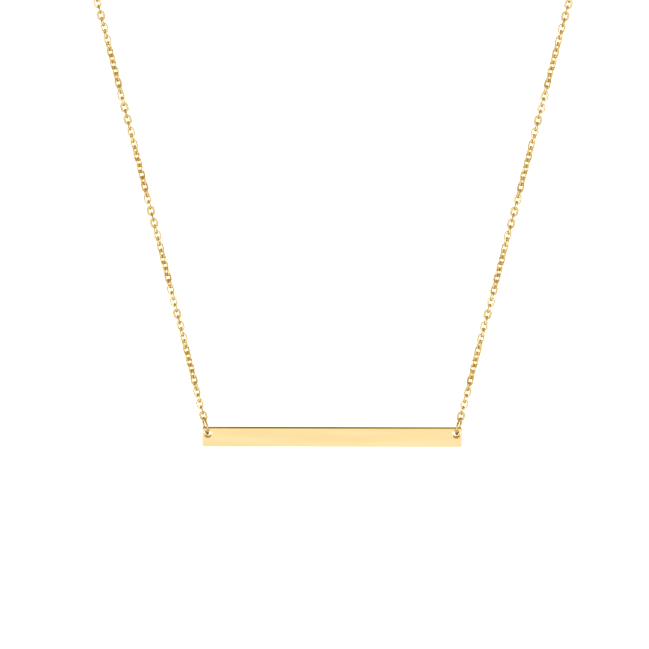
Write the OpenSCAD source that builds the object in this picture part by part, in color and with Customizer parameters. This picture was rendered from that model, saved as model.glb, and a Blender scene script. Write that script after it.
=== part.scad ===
// Bar pendant on a cable chain. A slim polished bar hangs by two jump rings from a chain
// that goes round the neck and closes at the nape in a spring ring clasp.
// Millimetres, +Z up. The front of the bar faces -Y. The origin is the middle of the
// clasp, where the necklace lies on the nape.

/* [Bar] */
// Length of the bar
bar_l = 44; // [30:1:60]
// Height of the bar
bar_h = 3.14; // [2.4:0.02:5]
// Thickness of the bar
bar_t = 1.5; // [0.8:0.1:1.6]
// Rounding of the four corners, seen from the front
corner_r = 0.25; // [0.1:0.05:0.5]
// Rounding of the long edges and the end edges
edge_r = 0.08; // [0.04:0.02:0.3]

/* [Holes] */
// Diameter of the hole at each end
hole_d = 1.15; // [1:0.05:1.5]
// From the end of the bar to the middle of the hole
hole_end = 0.92; // [0.86:0.02:1.6]
// From the top edge of the bar to the middle of the hole
hole_top = 0.95; // [0.9:0.05:1.4]
// Width of the softened rim round each hole
hole_rim = 0.06; // [0.02:0.02:0.1]

/* [Jump rings] */
// Outer diameter of the jump rings
ring_d = 3.2; // [2.8:0.04:4]
// Wire diameter of the jump rings
ring_wire = 0.34; // [0.26:0.02:0.4]
// Outward lean of each ring, in degrees
ring_lean = 12; // [8:0.5:16]
// Turn of each ring about the upright, away from square to the bar, in degrees
ring_turn = 14; // [0:1:16]
// Shift of the bottom of each ring outwards from the middle of its hole
ring_shift = 0.1; // [0:0.01:0.12]
// Clearance between a ring and the edges at the top of the hole that it carries
ring_clear = 0.2; // [0.08:0.01:0.24]

/* [Chain] */
// Distance from one link to the next
pitch = 1.067; // [1:0.001:1.3]
// Outer width of a link
link_w = 1.34; // [1.2:0.02:1.5]
// Wire diameter of a link
link_wire = 0.32; // [0.2:0.01:0.34]
// Clearance between two links, and between a link and a ring
link_clear = 0.11; // [0.06:0.01:0.16]
// Length of chain in which it turns a quarter about its own line
quarter_l = 17.5; // [12:0.5:60]

/* [Loop] */
// Outward lean of each front stretch of chain, in degrees
lean = 14; // [8:0.2:20]
// Length of each straight front stretch, from its start inside the ring
front_l = 78; // [60:1:90]
// Depth of the loop, from the bar to the nape
neck_d = 87; // [75:1:110]
// Height of the nape above the jump rings
nape_h = 100; // [90:1:130]
// How strongly the chain keeps the lean of the front before it turns back
rise_pull = 30; // [20:1:50]
// How strongly the chain keeps to the nape before it turns forwards
nape_pull = 64; // [50:1:80]

/* [Clasp] */
// Outer diameter of the spring ring
clasp_d = 5.5; // [5:0.1:7]
// Wire diameter of the spring ring
clasp_wire = 1; // [0.8:0.05:1.2]
// Outer diameter of the eyelet on the spring ring
eyelet_d = 2.2; // [2:0.1:2.6]
// Wire diameter of the eyelet
eyelet_wire = 0.4; // [0.3:0.05:0.5]
// Depth to which the eyelet is soldered into the spring ring
eyelet_sink = 0.3; // [0.2:0.05:0.35]
// Diameter of the thumb knob
knob_d = 0.6; // [0.4:0.05:0.8]
// Height of the thumb knob above the wire
knob_h = 0.5; // [0.3:0.05:0.8]
// Place of the thumb knob round the spring ring, in degrees from the eyelet
knob_turn = 60; // [40:5:140]
// Outer diameter of the end ring that the clasp closes on
end_ring_d = 3.6; // [3.4:0.1:4.4]
// Wire diameter of the end ring
end_ring_wire = 0.45; // [0.35:0.05:0.55]

/* [Hidden] */
gold = [0.98, 0.82, 0.45];
$fn = 48;
LEFT = -1;
RIGHT = 1;

// The jump rings. Each leans outwards and stands in the hole below its middle.
up_ring = [sin(ring_lean), 0, cos(ring_lean)];
ring_r = (ring_d - ring_wire) / 2;
hole_x = bar_l / 2 - hole_end;
ring_mid = [hole_x + ring_shift + ring_r * up_ring[0], -neck_d, -nape_h];

// The chain's line goes through the top of the ring. It starts as far below that as the
// middle of the ring lies.
up_chain = [sin(lean), 0, cos(lean)];
chain_start = ring_mid + ring_r * (up_ring - up_chain);

// The bar. It hangs by the front and back edges at the top of its holes, which stay
// inside the outline of the ring as seen from its end of the bar.
ring_reach = (ring_d / 2 - ring_wire) * cos(ring_lean) * cos(ring_turn) - ring_clear;
hole_z = -nape_h - sqrt(pow(ring_reach, 2) - pow(bar_t / 2, 2)) - hole_d / 2;
bar_z = hole_z + hole_top - bar_h / 2;

// Links, and the places along the chain where its first link and its last ones sit
link_l = pitch + 2 * link_wire + link_clear;
link_bow = (link_l - link_wire) / 2;
first_link = ring_r - (ring_wire + link_wire) / 2 - link_clear + link_bow;
clasp_r = (clasp_d - clasp_wire) / 2;
eyelet_r = (eyelet_d - eyelet_wire) / 2;
eyelet_x = clasp_d / 2 + eyelet_d / 2 - eyelet_sink;
end_ring_r = (end_ring_d - end_ring_wire) / 2;
end_ring_x = clasp_r - (clasp_wire + end_ring_wire) / 2 - link_clear + end_ring_r;
eyelet_link_x = eyelet_x + eyelet_r - (eyelet_wire + link_wire) / 2 - link_clear + link_bow;
end_ring_link_x = end_ring_x + end_ring_r - (end_ring_wire + link_wire) / 2 - link_clear
    + link_bow;

// The tube that fills the stretch of chain round the neck
tube_sides = 8;
tube_step = 2.6 * link_w;
tube_gap = link_clear;

// The line of the chain on the right side is straight from its start to the shoulder and
// then one Bezier curve to the last link, whose middle lies last_x to the side.
function unit(v) = v / norm(v);
shoulder = chain_start + front_l * up_chain;
function controls(last_x) = [shoulder, shoulder + rise_pull * up_chain,
    [last_x + nape_pull, 0, 0], [last_x, 0, 0]];
function on_curve(c, t) = pow(1 - t, 3) * c[0] + 3 * t * pow(1 - t, 2) * c[1]
    + 3 * pow(t, 2) * (1 - t) * c[2] + pow(t, 3) * c[3];
function along_curve(c, t) = unit(pow(1 - t, 2) * (c[1] - c[0])
    + 2 * t * (1 - t) * (c[2] - c[1]) + pow(t, 2) * (c[3] - c[2]));

// Pairs of length and parameter along the curve, for placing links at equal steps
curve_steps = 160;
function lengths(c, i = 1, total = 0, pairs = [[0, 0]]) = i > curve_steps ? pairs :
    let (here = total + norm(on_curve(c, i / curve_steps) - on_curve(c, (i - 1) / curve_steps)))
    lengths(c, i + 1, here, concat(pairs, [[here, i / curve_steps]]));
function chain_l(pairs) = front_l + pairs[curve_steps][0];

// Middle, direction and outward side of the chain at s from its start
function place(c, pairs, s) =
    let (t = s < front_l ? 0 : lookup(s - front_l, pairs))
    let (along = along_curve(c, t))
    let (away = [sin(180 * t), -cos(180 * t), 0])
    [s < front_l ? chain_start + s * up_chain : on_curve(c, t), along,
        unit(away - (away * along) * along)];

// The count of links on a side is odd, so that the first one and the last one are alike,
// each square to the ring that it hooks into.
function link_count(pairs) = 2 * round((chain_l(pairs) - first_link) / (2 * pitch)) + 1;
function link_at(pairs, i) = first_link
    + i * (chain_l(pairs) - first_link) / (link_count(pairs) - 1);
front_links = floor((front_l - first_link) / pitch);

// Turn of the chain about its own line: steady in the front, and then as much again as
// brings the last link square to its ring.
front_twist = 90 * (front_l - first_link) / quarter_l;
last_twist = 180 * ceil(front_twist / 180);
function twist(pairs, s) = s < front_l ? front_twist * (s - first_link) / (front_l - first_link)
    : front_twist + (last_twist - front_twist) * (s - front_l) / (chain_l(pairs) - front_l);

// A ring lying flat in the XY plane
module ring(radius, wire) {
    rotate_extrude() translate([radius, 0]) circle(d = wire);
}

module rounded_rectangle(w, h, r) {
    union() {
        square([w - 2 * r, h], center = true);
        square([w, h - 2 * r], center = true);
        for (x = [-1, 1], y = [-1, 1])
            translate([x * (w / 2 - r), y * (h / 2 - r)]) circle(r = r);
    }
}

// An oval link in the XZ plane, long in Z
module link() {
    straight = link_l - link_w;
    bend_r = (link_w - link_wire) / 2;
    union() {
        for (x = [-1, 1])
            translate([x * bend_r, 0, 0]) cylinder(h = straight, d = link_wire, center = true);
        for (z = [-1, 1])
            translate([0, 0, z * straight / 2]) rotate([90, z < 0 ? 180 : 0, 0])
                rotate_extrude(angle = 180) translate([bend_r, 0]) circle(d = link_wire);
    }
}

// Link number i of a chain, square to the link before it apart from the chain's twist
module placed_link(c, pairs, i) {
    s = link_at(pairs, i);
    here = place(c, pairs, s);
    side = cross(here[1], here[2]);
    turn = 90 * (i % 2) + twist(pairs, s);
    across = cos(turn) * side + sin(turn) * here[2];
    facing = cross(here[1], across);
    multmatrix([for (k = [0:2]) [across[k], facing[k], here[1][k], here[0][k]]]) link();
}

// Rings of points along the chain's line, joined into one closed tube
module tube(c, pairs, from, to) {
    rings = round((to - from) / tube_step);
    points = [for (i = [0:rings])
        let (here = place(c, pairs, from + i * (to - from) / rings))
        let (side = cross(here[1], here[2]))
        for (k = [0:tube_sides - 1])
            let (turn = 360 * k / tube_sides)
            here[0] + link_w / 2 * (cos(turn) * side + sin(turn) * here[2])];
    first = [for (k = [0:tube_sides - 1]) k];
    last = [for (k = [tube_sides - 1:-1:0]) rings * tube_sides + k];
    walls = [for (i = [0:rings - 1], k = [0:tube_sides - 1])
        let (a = i * tube_sides + k, b = i * tube_sides + (k + 1) % tube_sides)
        each [[a, a + tube_sides, b + tube_sides], [a, b + tube_sides, b]]];
    polyhedron(points = points, faces = concat([first], walls, [last]), convexity = 4);
}

// Draws a right-hand piece on either side
module on_side(side) {
    mirror([side < 0 ? 1 : 0, 0, 0]) children();
}

module bar() {
    color(gold) translate([0, -neck_d, bar_z]) difference() {
        intersection() {
            rotate([90, 0, 0]) linear_extrude(height = bar_t, center = true)
                rounded_rectangle(bar_l, bar_h, corner_r);
            rotate([90, 0, 90]) linear_extrude(height = bar_l, center = true)
                rounded_rectangle(bar_t, bar_h, edge_r);
            linear_extrude(height = bar_h, center = true)
                rounded_rectangle(bar_l, bar_t, edge_r);
        }
        for (x = [-hole_x, hole_x]) translate([x, 0, bar_h / 2 - hole_top]) {
            rotate([90, 0, 0]) cylinder(d = hole_d, h = 2 * bar_t, center = true);
            for (y = [-1, 1]) translate([0, y * bar_t / 2, 0]) rotate([-90 * y, 0, 0])
                translate([0, 0, -hole_rim])
                    cylinder(d1 = hole_d, d2 = hole_d + 4 * hole_rim, h = 2 * hole_rim);
        }
    }
}

module jump_ring(side) {
    color(gold) on_side(side) translate(ring_mid) rotate([0, ring_lean, 0])
        rotate([0, 0, -ring_turn]) rotate([0, 90, 0]) ring(ring_r, ring_wire);
}

// The right-hand chain hooks into the clasp's eyelet and the left-hand one into the end ring.
function last_link_x(side) = side == RIGHT ? eyelet_link_x : end_ring_link_x;

module chain_front(side) {
    c = controls(last_link_x(side));
    pairs = lengths(c);
    color(gold) on_side(side) for (i = [0:front_links - 1]) placed_link(c, pairs, i);
}

// The stretch round the neck: a tube of the chain's outer width, and the last link
module chain_back(side) {
    c = controls(last_link_x(side));
    pairs = lengths(c);
    last = link_count(pairs) - 1;
    color(gold) on_side(side) {
        tube(c, pairs, link_at(pairs, front_links - 1) + link_l / 2 + tube_gap,
            link_at(pairs, last) - link_l / 2 - tube_gap);
        placed_link(c, pairs, last);
    }
}

module end_ring() {
    color(gold) translate([-end_ring_x, 0, 0]) ring(end_ring_r, end_ring_wire);
}

// A spring ring standing in the XZ plane, with a flat eyelet and a thumb knob
module clasp() {
    color(gold) union() {
        rotate([90, 0, 0]) ring(clasp_r, clasp_wire);
        translate([eyelet_x, 0, 0]) ring(eyelet_r, eyelet_wire);
        rotate([0, 90 - knob_turn, 0]) translate([0, 0, clasp_r])
            cylinder(d = knob_d, h = clasp_wire / 2 + knob_h);
    }
}

bar();
jump_ring(LEFT);  // jump_ring_left
jump_ring(RIGHT);  // jump_ring_right
chain_front(LEFT);  // chain_front_left
chain_front(RIGHT);  // chain_front_right
chain_back(LEFT);  // chain_back_left
chain_back(RIGHT);  // chain_back_right
end_ring();
clasp();
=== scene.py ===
from bisect import bisect_left
from math import ceil, cos, pi, radians, sin, sqrt
import random

import bmesh
import bpy
from mathutils import Matrix, Vector


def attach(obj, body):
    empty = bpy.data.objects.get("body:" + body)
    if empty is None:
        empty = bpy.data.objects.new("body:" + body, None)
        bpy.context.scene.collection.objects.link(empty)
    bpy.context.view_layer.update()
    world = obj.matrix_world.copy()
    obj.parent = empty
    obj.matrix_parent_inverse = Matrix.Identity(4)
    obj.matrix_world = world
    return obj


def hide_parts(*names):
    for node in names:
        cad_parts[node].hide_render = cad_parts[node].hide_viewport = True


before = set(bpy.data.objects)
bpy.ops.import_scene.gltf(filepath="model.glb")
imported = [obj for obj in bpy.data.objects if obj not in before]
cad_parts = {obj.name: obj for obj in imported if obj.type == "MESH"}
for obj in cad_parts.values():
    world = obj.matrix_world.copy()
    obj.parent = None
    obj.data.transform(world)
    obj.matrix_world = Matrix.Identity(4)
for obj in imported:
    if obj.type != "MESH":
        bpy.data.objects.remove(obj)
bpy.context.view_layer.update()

random.seed(11)

LEFT, RIGHT = -1, 1
MM = 0.001
PER_MM = 1000

# Sizes in millimetres, as in the part's source
BAR_LENGTH, BAR_HEIGHT, BAR_THICKNESS = 44, 3.14, 1.5
CORNER_ROUNDING, EDGE_ROUNDING = 0.25, 0.08
HOLE_ACROSS, HOLE_FROM_END, HOLE_FROM_TOP, HOLE_RIM = 1.15, 0.92, 0.95, 0.06
RING_ACROSS, RING_WIRE, RING_CLEAR, RING_SHIFT = 3.2, 0.34, 0.2, 0.1
RING_TURN, RING_LEAN = radians(14), radians(12)
PITCH, PART_LINK_WIRE, PART_LINK_CLEAR = 1.067, 0.32, 0.11
QUARTER_TURN_LENGTH = 17.5
LEAN, FRONT_LENGTH = radians(14), 78
NECK_DEPTH, NAPE_HEIGHT, RISE_PULL, NAPE_PULL = 87, 100, 30, 64
CLASP_ACROSS, CLASP_WIRE = 5.5, 1
EYELET_ACROSS, EYELET_WIRE, EYELET_SINK = 2.2, 0.4, 0.3
KNOB_ACROSS, KNOB_HEIGHT, KNOB_TURN = 0.6, 0.5, radians(60)
END_RING_ACROSS, END_RING_WIRE = 3.6, 0.45

# Sizes in millimetres that only this model has. Its links are a little wider and thicker
# than the part's, and sit in the same places.
LINK_WIDTH, LINK_WIRE, LINK_LENGTH = 1.36, 0.36, 1.795
LOOSE_TURN = radians(4)
FACE_CROWN = 0.012
WIRE_END_ROUNDING = 0.02
TUBE_END_ROUNDING = 0.06
JUMP_RING_CUT, JUMP_RING_CUT_AT = radians(0.7), radians(55)
END_RING_CUT, END_RING_CUT_AT = radians(0.5), radians(74)
CLASP_GAP_FROM, CLASP_GAP_TO = radians(16), radians(46)
BOLT_WIRE, BOLT_BEFORE_GAP, BOLT_PAST_GAP = 0.58, radians(3), radians(5)
EYELET_CUT = radians(2)
SOLDER_RADIUS, SOLDER_OUT, SOLDER_SHAPE = 0.3, 0.06, (0.7, 1.25, 1)
KNOB_ROUNDING = 0.14

# How finely curves are stepped
DRILL_SIDES = 40
CORNER_STEPS, EDGE_STEPS, FACE_STRIPS = 5, 4, 8
WIRE_SIDES, TUBE_SIDES = 12, 16
RING_STEPS, EYELET_STEPS, BOLT_STEPS = 56, 32, 8
WIRE_END_STEPS = 2
SOLDER_SEGMENTS, SOLDER_RINGS = 16, 8
KNOB_SIDES, KNOB_STEPS = 20, 4
LINK_BENDS, LINK_SIDES = 14, 6
LINE_STEPS = 160

# How closely points have to meet, and how closely an edge or a face has to keep to a direction
FINEST = 1e-5
NEARLY_ALONG, NEARLY_ACROSS = 0.9, 0.1
CRISP_EDGE = radians(35)

# Places that follow from them. The ring stands in the hole below its middle, the bar hangs
# from it by the top of the hole, and the chain's line goes through the top of the ring.
up_chain = Vector((sin(LEAN), 0, cos(LEAN)))
up_ring = Vector((sin(RING_LEAN), 0, cos(RING_LEAN)))
ring_radius = (RING_ACROSS - RING_WIRE) / 2
hole_x = BAR_LENGTH / 2 - HOLE_FROM_END
ring_middle = Vector((hole_x + RING_SHIFT + ring_radius * up_ring.x, -NECK_DEPTH, -NAPE_HEIGHT))
ring_reach = (RING_ACROSS / 2 - RING_WIRE) * up_ring.z * cos(RING_TURN) - RING_CLEAR
chain_start = ring_middle + ring_radius * (up_ring - up_chain)
hole_z = -NAPE_HEIGHT - sqrt(ring_reach ** 2 - (BAR_THICKNESS / 2) ** 2) - HOLE_ACROSS / 2
bar_z = hole_z + HOLE_FROM_TOP - BAR_HEIGHT / 2
link_bow = (PITCH + PART_LINK_WIRE + PART_LINK_CLEAR) / 2
first_link = ring_radius - (RING_WIRE + PART_LINK_WIRE) / 2 - PART_LINK_CLEAR + link_bow
clasp_radius = (CLASP_ACROSS - CLASP_WIRE) / 2
eyelet_radius = (EYELET_ACROSS - EYELET_WIRE) / 2
eyelet_x = CLASP_ACROSS / 2 + EYELET_ACROSS / 2 - EYELET_SINK
end_ring_radius = (END_RING_ACROSS - END_RING_WIRE) / 2
end_ring_x = clasp_radius - (CLASP_WIRE + END_RING_WIRE) / 2 - PART_LINK_CLEAR + end_ring_radius
last_link_x = {
    RIGHT: eyelet_x + eyelet_radius - (EYELET_WIRE + PART_LINK_WIRE) / 2 - PART_LINK_CLEAR
    + link_bow,
    LEFT: end_ring_x + end_ring_radius - (END_RING_WIRE + PART_LINK_WIRE) / 2 - PART_LINK_CLEAR
    + link_bow,
}


# Camera

def place_camera():
    """A long lens a little above the bar, which holds the front of the necklace."""
    # The lens and the aim are in millimetres, and the distances in metres
    lens = 300
    aim_x, aim_z = -1.335, -82.505
    distance = 0.915
    nearest, farthest = 0.01, 50
    elevation = radians(10)
    roll = radians(0.12)
    aim = Vector((aim_x, -NECK_DEPTH, aim_z)) * MM
    data = bpy.data.cameras.new("camera")
    data.lens = lens
    data.clip_start = nearest
    data.clip_end = farthest
    camera = bpy.data.objects.new("camera", data)
    bpy.context.scene.collection.objects.link(camera)
    away = Vector((0, -cos(elevation), sin(elevation)))
    camera.location = aim + distance * away
    towards = Matrix.Rotation(pi / 2 - elevation, 3, "X") @ Matrix.Rotation(roll, 3, "Z")
    camera.rotation_euler = towards.to_euler()
    bpy.context.scene.camera = camera


# Modelling helpers

def select_only(piece):
    bpy.ops.object.select_all(action="DESELECT")
    piece.select_set(True)
    bpy.context.view_layer.objects.active = piece


def name_new(name):
    """Names the primitive that was just added."""
    piece = bpy.context.active_object
    piece.name = name
    piece.data.name = name
    return piece


def bake_place(piece):
    """Moves the object's place, turn and scale into its mesh."""
    select_only(piece)
    bpy.ops.object.transform_apply(location=True, rotation=True, scale=True)


def edit(piece):
    select_only(piece)
    bpy.ops.object.mode_set(mode="EDIT")


def leave():
    bpy.ops.object.mode_set(mode="OBJECT")


def pick(piece, kind, wanted):
    """Selects only the wanted verts, edges or faces of the piece in edit mode."""
    modes = {"verts": "VERT", "edges": "EDGE", "faces": "FACE"}
    bpy.ops.mesh.select_mode(type=modes[kind])
    bpy.ops.mesh.select_all(action="DESELECT")
    mesh = bmesh.from_edit_mesh(piece.data)
    for element in getattr(mesh, kind):
        element.select_set(wanted(element))
    mesh.select_flush_mode()
    bmesh.update_edit_mesh(piece.data)


def middle(edge):
    return (edge.verts[0].co + edge.verts[1].co) / 2


def direction(edge):
    return (edge.verts[1].co - edge.verts[0].co).normalized()


def turn_faces_out(piece):
    edit(piece)
    bpy.ops.mesh.select_all(action="SELECT")
    bpy.ops.mesh.remove_doubles(threshold=FINEST)
    bpy.ops.mesh.normals_make_consistent(inside=False)
    leave()


def finish_surface(piece):
    """Smooth shading that stays crisp at real edges, with flat faces kept flat."""
    turn_faces_out(piece)
    bpy.ops.object.shade_smooth_by_angle(angle=CRISP_EDGE)
    bpy.ops.object.modifier_add(type="WEIGHTED_NORMAL")
    weighted = piece.modifiers[-1]
    weighted.keep_sharp = True
    bpy.ops.object.modifier_apply(modifier=weighted.name)


def to_metres(piece):
    piece.scale = (MM, MM, MM)
    bake_place(piece)


def join(pieces, name):
    bpy.ops.object.select_all(action="DESELECT")
    for piece in pieces:
        piece.select_set(True)
    bpy.context.view_layer.objects.active = pieces[0]
    bpy.ops.object.join()
    return name_new(name)


def hand_over(piece, body, material, node):
    """Finishes a piece: its material, the body it moves with and the node it stands for."""
    piece.data.materials.clear()
    piece.data.materials.append(material)
    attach(piece, body)
    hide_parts(node)


# Bar

def drill(bar, x):
    """Cuts one hole through the bar, with a softened rim on both faces."""
    # How far out each step of the rim goes and how much wider, as shares of the rim's width.
    # The last step ends clear of the bar.
    rim_steps = ((0.6, 0.25), (0.4, 0.75), (0.6, 2))
    straight = BAR_THICKNESS - 2 * HOLE_RIM
    bpy.ops.mesh.primitive_cylinder_add(
        vertices=DRILL_SIDES, radius=HOLE_ACROSS / 2, depth=straight,
        location=(x, -NECK_DEPTH, hole_z), rotation=(pi / 2, 0, 0))
    cutter = name_new("drill")
    bake_place(cutter)
    edit(cutter)
    for side in (-1, 1):
        pick(cutter, "faces", lambda face: face.normal.y * side > NEARLY_ALONG)
        centre = Vector((x, -NECK_DEPTH + side * BAR_THICKNESS / 2, hole_z))
        reach = HOLE_ACROSS / 2
        for out, wider in rim_steps:
            bpy.ops.mesh.extrude_region_move(
                TRANSFORM_OT_translate={"value": (0, side * out * HOLE_RIM, 0)})
            grow = (reach + wider * HOLE_RIM) / reach
            bpy.ops.transform.resize(value=(grow, 1, grow), center_override=centre)
            reach += wider * HOLE_RIM
    leave()
    turn_faces_out(cutter)
    select_only(bar)
    bpy.ops.object.modifier_add(type="BOOLEAN")
    cut = bar.modifiers[-1]
    cut.operation = "DIFFERENCE"
    cut.solver = "EXACT"
    cut.object = cutter
    bpy.ops.object.modifier_apply(modifier=cut.name)
    bpy.data.objects.remove(cutter)


def crown_faces(bar):
    """Cuts both faces into strips and draws them in a little towards the long edges."""
    flat = BAR_HEIGHT - 2 * EDGE_ROUNDING
    for strip in range(1, FACE_STRIPS):
        bpy.ops.mesh.select_all(action="SELECT")
        cut_z = bar_z + flat * (strip / FACE_STRIPS - 0.5)
        bpy.ops.mesh.bisect(plane_co=(0, 0, cut_z), plane_no=(0, 0, 1), threshold=FINEST)
    mesh = bmesh.from_edit_mesh(bar.data)
    for vert in mesh.verts:
        depth = vert.co.y + NECK_DEPTH
        height = (vert.co.z - bar_z) / (BAR_HEIGHT / 2)
        vert.co.y -= FACE_CROWN * height ** 2 * depth / (BAR_THICKNESS / 2)
    bmesh.update_edit_mesh(bar.data)


def make_bar(material):
    """A polished bar with rounded corners and softened edges, drilled near each end."""
    bpy.ops.mesh.primitive_cube_add(
        size=1, location=(0, -NECK_DEPTH, bar_z),
        scale=(BAR_LENGTH, BAR_THICKNESS, BAR_HEIGHT))
    bar = name_new("polished_bar")
    bake_place(bar)
    edit(bar)
    pick(bar, "edges", lambda edge: abs(direction(edge).y) > NEARLY_ALONG)
    bpy.ops.mesh.bevel(offset=CORNER_ROUNDING, segments=CORNER_STEPS, affect="EDGES")
    faces_at = BAR_THICKNESS / 2 - FINEST
    pick(bar, "edges", lambda edge: abs(middle(edge).y + NECK_DEPTH) > faces_at)
    bpy.ops.mesh.bevel(offset=EDGE_ROUNDING, segments=EDGE_STEPS, affect="EDGES")
    crown_faces(bar)
    leave()
    for x in (-hole_x, hole_x):
        drill(bar, x)
    finish_surface(bar)
    to_metres(bar)
    hand_over(bar, "pendant", material, "bar")


# Rings

def bend_wire(name, radius, wire, start, sweep, steps, sides=WIRE_SIDES,
              end_rounding=WIRE_END_ROUNDING):
    """A wire bent round the origin in the XY plane, from one angle through a sweep, with
    its two end caps rounded."""
    bpy.ops.mesh.primitive_circle_add(
        vertices=sides, radius=wire / 2, fill_type="NGON",
        location=(radius, 0, 0), rotation=(pi / 2, 0, 0))
    piece = name_new(name)
    bake_place(piece)
    edit(piece)
    bpy.ops.mesh.select_all(action="SELECT")
    bpy.ops.mesh.spin(steps=steps, angle=sweep, center=(0, 0, 0), axis=(0, 0, 1))
    leave()
    piece.rotation_euler = (0, 0, start)
    bake_place(piece)
    turn_faces_out(piece)
    edit(piece)
    pick(piece, "edges", lambda edge: any(len(face.verts) > 4 for face in edge.link_faces))
    bpy.ops.mesh.bevel(offset=end_rounding, segments=WIRE_END_STEPS, affect="EDGES")
    leave()
    return piece


def make_jump_ring(side, material):
    """A jump ring closed with a fine cut, leaning outwards and standing in the bar's hole."""
    word = "left" if side == LEFT else "right"
    start = JUMP_RING_CUT_AT + JUMP_RING_CUT / 2
    ring = bend_wire(f"{word}_jump_ring", ring_radius, RING_WIRE, start,
                     2 * pi - JUMP_RING_CUT, RING_STEPS)
    finish_surface(ring)
    ring.matrix_world = (
        Matrix.Translation((side * ring_middle.x, ring_middle.y, ring_middle.z))
        @ Matrix.Rotation(side * RING_LEAN, 4, "Y")
        @ Matrix.Rotation(-side * RING_TURN, 4, "Z")
        @ Matrix.Rotation(pi / 2, 4, "Y"))
    bake_place(ring)
    to_metres(ring)
    hand_over(ring, "pendant", material, f"jump_ring_{word}")


def make_end_ring(material):
    """The ring on the left end of the chain. Its cut sits where no step of the bent wire
    reaches past the part's own round ring."""
    ring = bend_wire("closing_ring", end_ring_radius, END_RING_WIRE, END_RING_CUT_AT,
                     2 * pi - END_RING_CUT, RING_STEPS)
    finish_surface(ring)
    ring.location = (-end_ring_x, 0, 0)
    bake_place(ring)
    to_metres(ring)
    hand_over(ring, "necklace", material, "end_ring")


# Clasp

def make_spring_tube():
    """The clasp's round tube with its gap, and the bolt that closes the gap."""
    gap = CLASP_GAP_TO - CLASP_GAP_FROM
    tube = bend_wire("tube", clasp_radius, CLASP_WIRE, CLASP_GAP_TO, 2 * pi - gap,
                     RING_STEPS, TUBE_SIDES, TUBE_END_ROUNDING)
    bolt = bend_wire("bolt", clasp_radius, BOLT_WIRE, CLASP_GAP_FROM - BOLT_BEFORE_GAP,
                     BOLT_BEFORE_GAP + gap + BOLT_PAST_GAP, BOLT_STEPS)
    for piece in (tube, bolt):
        piece.rotation_euler = (pi / 2, 0, 0)
        bake_place(piece)
    return [tube, bolt]


def make_eyelet():
    """The flat eyelet for the chain, and the drop of solder that holds it to the tube."""
    eyelet = bend_wire("eyelet", eyelet_radius, EYELET_WIRE, pi + EYELET_CUT / 2,
                       2 * pi - EYELET_CUT, EYELET_STEPS)
    eyelet.location = (eyelet_x, 0, 0)
    bake_place(eyelet)
    bpy.ops.mesh.primitive_uv_sphere_add(
        segments=SOLDER_SEGMENTS, ring_count=SOLDER_RINGS, radius=SOLDER_RADIUS,
        location=(CLASP_ACROSS / 2 + SOLDER_OUT, 0, 0), scale=SOLDER_SHAPE)
    solder = name_new("solder")
    bake_place(solder)
    return [eyelet, solder]


def make_knob():
    """The thumb knob, with a rounded top."""
    height = CLASP_WIRE / 2 + KNOB_HEIGHT
    bpy.ops.mesh.primitive_cylinder_add(
        vertices=KNOB_SIDES, radius=KNOB_ACROSS / 2, depth=height,
        location=(0, 0, clasp_radius + height / 2))
    knob = name_new("knob")
    bake_place(knob)
    edit(knob)
    pick(knob, "edges", lambda edge: middle(edge).z > clasp_radius + CLASP_WIRE / 2
         and abs(direction(edge).z) < NEARLY_ACROSS)
    bpy.ops.mesh.bevel(offset=KNOB_ROUNDING, segments=KNOB_STEPS, affect="EDGES")
    leave()
    knob.rotation_euler = (0, pi / 2 - KNOB_TURN, 0)
    bake_place(knob)
    return knob


def make_clasp(material):
    """A spring ring: a tube with a bolt across its gap, an eyelet and a thumb knob."""
    parts = [*make_spring_tube(), *make_eyelet(), make_knob()]
    for part in parts:
        finish_surface(part)
    clasp = join(parts, "spring_ring")
    to_metres(clasp)
    hand_over(clasp, "necklace", material, "clasp")


# Chain

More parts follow.
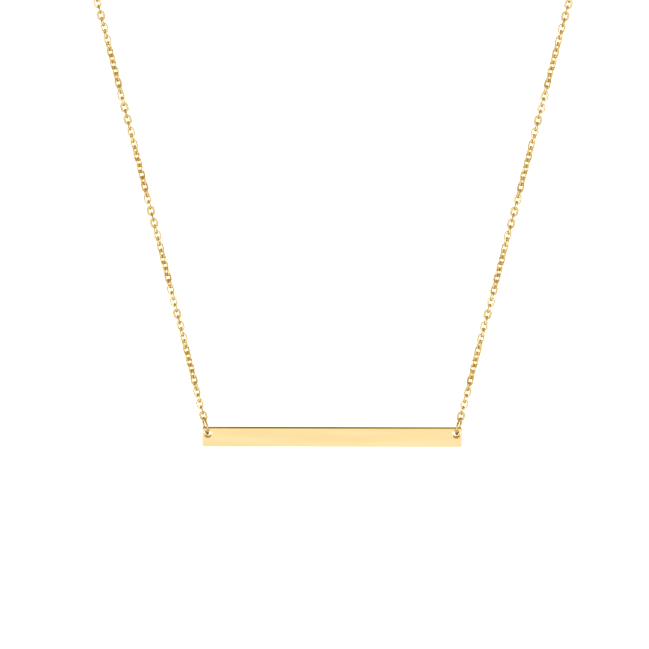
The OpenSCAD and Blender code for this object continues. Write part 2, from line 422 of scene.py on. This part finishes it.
class ChainLine:
    """The line of the chain on the right-hand side. It is straight from its start inside
    the jump ring to the shoulder, and then one curve to the last link."""

    def __init__(self, last_x):
        shoulder = chain_start + FRONT_LENGTH * up_chain
        self.pulls = [shoulder, shoulder + RISE_PULL * up_chain,
                      Vector((last_x + NAPE_PULL, 0, 0)), Vector((last_x, 0, 0))]
        self.lengths = [0]
        self.shares = [0]
        before = shoulder
        for step in range(1, LINE_STEPS + 1):
            here = self.on_curve(step / LINE_STEPS)
            self.lengths.append(self.lengths[-1] + (here - before).length)
            self.shares.append(step / LINE_STEPS)
            before = here
        self.length = FRONT_LENGTH + self.lengths[-1]
        self.count = 2 * round((self.length - first_link) / (2 * PITCH)) + 1

    def on_curve(self, t):
        a, b, c, d = self.pulls
        return ((1 - t) ** 3 * a + 3 * t * (1 - t) ** 2 * b
                + 3 * t ** 2 * (1 - t) * c + t ** 3 * d)

    def along_curve(self, t):
        a, b, c, d = self.pulls
        return ((1 - t) ** 2 * (b - a) + 2 * t * (1 - t) * (c - b)
                + t ** 2 * (d - c)).normalized()

    def share_at(self, length):
        """The curve's parameter at a length along it."""
        above = min(max(bisect_left(self.lengths, length), 1), len(self.lengths) - 1)
        low = self.lengths[above - 1]
        high = self.lengths[above]
        part = (length - low) / (high - low)
        return self.shares[above - 1] + part * (self.shares[above] - self.shares[above - 1])

    def place(self, s):
        """Middle, direction and outward side of the chain at s from its start."""
        straight = s < FRONT_LENGTH
        t = 0 if straight else self.share_at(s - FRONT_LENGTH)
        here = chain_start + s * up_chain if straight else self.on_curve(t)
        along = self.along_curve(t)
        away = Vector((sin(pi * t), -cos(pi * t), 0))
        return here, along, (away - away.dot(along) * along).normalized()

    def twist(self, s):
        """Turn of the chain about its own line: steady in the front, and then as much again
        as brings the last link square to its ring."""
        front = pi / 2 * (FRONT_LENGTH - first_link) / QUARTER_TURN_LENGTH
        last = pi * ceil(front / pi)
        if s < FRONT_LENGTH:
            return front * (s - first_link) / (FRONT_LENGTH - first_link)
        return front + (last - front) * (s - FRONT_LENGTH) / (self.length - FRONT_LENGTH)

    def link_matrix(self, number, side):
        """Where one link sits: across in X, facing in Y and along the chain in Z. Each link
        is turned a little by itself, as loose links are."""
        s = first_link + number * (self.length - first_link) / (self.count - 1)
        here, along, away = self.place(s)
        loose = random.uniform(-1, 1) * LOOSE_TURN
        turn = pi / 2 * (number % 2) + self.twist(s) + loose
        across = cos(turn) * along.cross(away) + sin(turn) * away
        for vector in (here, along, across):
            vector.x *= side
        facing = along.cross(across)
        columns = Matrix((across, facing, along)).transposed().to_4x4()
        return Matrix.Translation(here) @ columns


def make_link():
    """One oval link of cut wire, long in Z, with seven steps in each bend. Its six sides
    stay flat, so that a link flashes where the chain turns it towards a lamp."""
    bpy.ops.mesh.primitive_torus_add(
        major_segments=LINK_BENDS, minor_segments=LINK_SIDES,
        major_radius=(LINK_WIDTH - LINK_WIRE) / 2, minor_radius=LINK_WIRE / 2,
        rotation=(pi / 2, 0, 0))
    link = name_new("link")
    bake_place(link)
    link.rotation_euler = (0, pi / LINK_BENDS, 0)
    bake_place(link)
    edit(link)
    for side in (-1, 1):
        pick(link, "verts", lambda vert: vert.co.z * side > 0)
        stretch = side * (LINK_LENGTH - LINK_WIDTH) / 2
        bpy.ops.transform.translate(value=(0, 0, stretch))
    leave()
    turn_faces_out(link)
    bpy.ops.object.shade_smooth_by_angle(angle=CRISP_EDGE)
    return link


def make_chain(link, side, material):
    """Copies the link along one side of the necklace, as a front and a back piece."""
    line = ChainLine(last_link_x[side])
    front_count = int((FRONT_LENGTH - first_link) / PITCH)
    word = "left" if side == LEFT else "right"
    stretches = {"front": range(front_count), "back": range(front_count, line.count)}
    for stretch, numbers in stretches.items():
        copies = []
        for number in numbers:
            copy = link.copy()
            copy.data = link.data.copy()
            bpy.context.scene.collection.objects.link(copy)
            copy.matrix_world = line.link_matrix(number, side)
            copies.append(copy)
        bake_place(copies[0])
        piece = join(copies, f"{word}_{stretch}_links")
        to_metres(piece)
        hand_over(piece, "necklace", material, f"chain_{stretch}_{word}")


# Materials

def noise(nodes, links, coordinates, scale, detail):
    """A noise pattern whose scale is given per millimetre along X, Y and Z."""
    stretch = nodes.new("ShaderNodeMapping")
    stretch.inputs["Scale"].default_value = [PER_MM * k for k in scale]
    texture = nodes.new("ShaderNodeTexNoise")
    texture.inputs["Scale"].default_value = 1
    texture.inputs["Detail"].default_value = detail
    texture.inputs["Roughness"].default_value = 0.5
    links.new(coordinates, stretch.inputs["Vector"])
    links.new(stretch.outputs["Vector"], texture.inputs["Vector"])
    return texture.outputs["Fac"]


def gold(name, tints, roughness, patina, grain, grain_depth):
    """Gold plate: tints drift slowly over it, its polish varies, and fine grain is left.
    tints go from dull to bright and roughness from polished to worn. patina and grain are
    noise scales per millimetre, and grain_depth is in millimetres."""
    all_dull, all_bright = 0.35, 0.65
    all_polished, all_worn = 0.3, 0.7
    detail, wear_detail, wear_to_patina = 3, 4, 2
    material = bpy.data.materials.new(name)
    material.use_nodes = True
    nodes = material.node_tree.nodes
    links = material.node_tree.links
    shader = nodes["Principled BSDF"]
    shader.inputs["Metallic"].default_value = 1
    place = nodes.new("ShaderNodeTexCoord").outputs["Object"]

    drift = noise(nodes, links, place, patina, detail)
    ramp = nodes.new("ShaderNodeValToRGB")
    dull, bright = ramp.color_ramp.elements
    dull.position = all_dull
    dull.color = (*tints[0], 1)
    bright.position = all_bright
    bright.color = (*tints[1], 1)
    links.new(drift, ramp.inputs["Fac"])
    links.new(ramp.outputs["Color"], shader.inputs["Base Color"])

    wear = noise(nodes, links, place, [wear_to_patina * k for k in patina], wear_detail)
    spread = nodes.new("ShaderNodeMapRange")
    spread.inputs["From Min"].default_value = all_polished
    spread.inputs["From Max"].default_value = all_worn
    spread.inputs["To Min"].default_value = roughness[0]
    spread.inputs["To Max"].default_value = roughness[1]
    links.new(wear, spread.inputs["Value"])
    links.new(spread.outputs["Result"], shader.inputs["Roughness"])

    bump = nodes.new("ShaderNodeBump")
    bump.inputs["Strength"].default_value = 1
    bump.inputs["Distance"].default_value = grain_depth * MM
    links.new(noise(nodes, links, place, grain, detail), bump.inputs["Height"])
    links.new(bump.outputs["Normal"], shader.inputs["Normal"])
    return material


# Stage and light. The gold mirrors the room's tones and not the floor. A border is where one
# tone of the room fades into the next, and its two numbers are shares of a direction across,
# away from the camera or upwards.
PANEL_TONE = (1.09, 1.09, 1.09)
WALL_TONE = (0.57, 0.5, 0.22)
CEILING_TONE = (0.42, 0.34, 0.15)
FAR_TONE = (0.44, 0.31, 0.04)
GAP_TONE = (0.24, 0.16, 0.015)
LAMP_TONE = (1.6, 1.75, 2.5)
PANEL_MIDDLE = (0, -0.985, -0.174)
PANEL_BORDER = (0.3, 0.8)
FAR_BORDER = (0.7, 0.9)
CEILING_BORDER, CEILING_END = (0.1, 0.4), (0.5, 0)
GAP_LEFT, GAP_RIGHT = (-0.024, -0.016), (0.03, -0.008)
LAMP_INNER, LAMP_OUTER = (0.25, 0.33), (0.85, 0.7)
LAMP_BOTTOM, LAMP_TOP, LAMP_BACK = (-0.5, -0.35), (0.25, 0.1), (-0.15, -0.35)


def lay_floor():
    """A pale floor under the necklace, left out of what the gold mirrors."""
    floor_across, floor_z = 8, -0.17
    bpy.ops.mesh.primitive_plane_add(size=floor_across, location=(0, 0, floor_z))
    floor = name_new("floor")
    paper = bpy.data.materials.new("pale paper")
    paper.use_nodes = True
    shader = paper.node_tree.nodes["Principled BSDF"]
    shader.inputs["Base Color"].default_value = (0.7, 0.7, 0.7, 1)
    shader.inputs["Roughness"].default_value = 0.9
    shader.inputs["Emission Color"].default_value = (1, 1, 1, 1)
    shader.inputs["Emission Strength"].default_value = 1
    floor.data.materials.append(paper)
    floor.visible_glossy = False


def hang_light(name, place, target, size, power):
    data = bpy.data.lights.new(name, "AREA")
    data.size = size
    data.energy = power
    light = bpy.data.objects.new(name, data)
    bpy.context.scene.collection.objects.link(light)
    light.location = place
    towards = Vector(target) - Vector(place)
    light.rotation_euler = towards.to_track_quat("-Z", "Y").to_euler()
    light.visible_camera = False


def paint_room(nodes, links, towards):
    """The room's tone in each direction: warm walls, a white panel behind the camera, a dim
    ceiling and far side, a dark gap in the far side and a cool lamp on either hand."""

    def fade(value, border):
        """0 at the border's first number and 1 at its second."""
        ramp = nodes.new("ShaderNodeMapRange")
        ramp.interpolation_type = "SMOOTHSTEP"
        ramp.inputs["From Min"].default_value = border[0]
        ramp.inputs["From Max"].default_value = border[1]
        links.new(value, ramp.inputs["Value"])
        return ramp.outputs["Result"]

    def both(first, second):
        """The share in which both of them hold."""
        product = nodes.new("ShaderNodeMath")
        product.operation = "MULTIPLY"
        links.new(first, product.inputs[0])
        links.new(second, product.inputs[1])
        return product.outputs["Value"]

    def blend(share, first, second):
        """The first tone where the share is 0 and the second where it is 1."""
        mix = nodes.new("ShaderNodeMix")
        mix.data_type = "RGBA"
        links.new(share, mix.inputs["Factor"])
        for socket, colour in (("A", first), ("B", second)):
            if isinstance(colour, tuple):
                mix.inputs[socket].default_value = (*colour, 1)
            else:
                links.new(colour, mix.inputs[socket])
        return mix.outputs["Result"]

    split = nodes.new("ShaderNodeSeparateXYZ")
    links.new(towards, split.inputs["Vector"])
    across, away, up = split.outputs
    absolute = nodes.new("ShaderNodeMath")
    absolute.operation = "ABSOLUTE"
    links.new(across, absolute.inputs[0])
    aside = absolute.outputs["Value"]
    facing = nodes.new("ShaderNodeVectorMath")
    facing.operation = "DOT_PRODUCT"
    facing.inputs[1].default_value = PANEL_MIDDLE
    links.new(towards, facing.inputs[0])

    panel = fade(facing.outputs["Value"], PANEL_BORDER)
    ceiling = both(fade(up, CEILING_BORDER), fade(away, CEILING_END))
    far = fade(away, FAR_BORDER)
    gap = both(both(fade(across, GAP_LEFT), fade(across, GAP_RIGHT)), far)
    lamp_width = both(fade(aside, LAMP_INNER), fade(aside, LAMP_OUTER))
    lamp_height = both(fade(up, LAMP_BOTTOM), fade(up, LAMP_TOP))
    lamps = both(both(lamp_width, lamp_height), fade(away, LAMP_BACK))
    tone = WALL_TONE
    for share, colour in ((panel, PANEL_TONE), (ceiling, CEILING_TONE), (far, FAR_TONE),
                          (gap, GAP_TONE), (lamps, LAMP_TONE)):
        tone = blend(share, tone, colour)
    return tone


def fill_with_light():
    """The painted room for the gold to mirror, a white background for the camera, and one
    soft box over the front of the necklace."""
    world = bpy.data.worlds.new("white room")
    bpy.context.scene.world = world
    world.use_nodes = True
    nodes = world.node_tree.nodes
    links = world.node_tree.links
    room = nodes["Background"]
    towards = nodes.new("ShaderNodeTexCoord").outputs["Generated"]
    links.new(paint_room(nodes, links, towards), room.inputs["Color"])
    seen = nodes.new("ShaderNodeBackground")
    seen.inputs["Color"].default_value = (1, 1, 1, 1)
    choose = nodes.new("ShaderNodeMixShader")
    links.new(nodes.new("ShaderNodeLightPath").outputs["Is Camera Ray"], choose.inputs["Fac"])
    links.new(room.outputs["Background"], choose.inputs[1])
    links.new(seen.outputs["Background"], choose.inputs[2])
    links.new(choose.outputs["Shader"], nodes["World Output"].inputs["Surface"])

    hang_light("soft box", place=(0.1, -0.35, 0.55), target=(0, -0.087, -0.08), size=0.5,
               power=0.5)
    bpy.context.scene.view_settings.view_transform = "Standard"


place_camera()
fill_with_light()
lay_floor()
bar_gold = gold(
    "polished bar gold", tints=[(0.915, 0.695, 0.335), (0.945, 0.755, 0.41)],
    roughness=(0.05, 0.12), patina=(0.05, 0.8, 0.8), grain=(0.06, 1.1, 1.1), grain_depth=0.003)
# The jump ring's tints are darker and deeper than the bar's gold: painted shade, darkening the
# ring's wire beyond what its reflections give it.
ring_gold_painted_shade = gold(
    "jump ring gold", tints=[(0.74, 0.5, 0.15), (0.85, 0.62, 0.24)],
    roughness=(0.06, 0.15), patina=(1.2, 1.2, 1.2), grain=(9, 9, 9), grain_depth=0.002)
# The chain's tints are a little deeper than the bar's gold: painted shade, darkening the links
# beyond what their reflections give them.
link_gold_painted_shade = gold(
    "chain wire gold", tints=[(0.86, 0.64, 0.27), (0.93, 0.74, 0.37)],
    roughness=(0.12, 0.26), patina=(0.9, 0.9, 0.9), grain=(9, 9, 9), grain_depth=0.002)
clasp_gold = gold(
    "clasp gold", tints=[(0.88, 0.68, 0.31), (0.93, 0.75, 0.38)],
    roughness=(0.08, 0.18), patina=(0.8, 0.8, 0.8), grain=(7, 7, 7), grain_depth=0.002)
make_bar(bar_gold)
for side in (LEFT, RIGHT):
    make_jump_ring(side, ring_gold_painted_shade)
link_master = make_link()
for side in (LEFT, RIGHT):
    make_chain(link_master, side, link_gold_painted_shade)
bpy.data.objects.remove(link_master)
make_end_ring(clasp_gold)
make_clasp(clasp_gold)
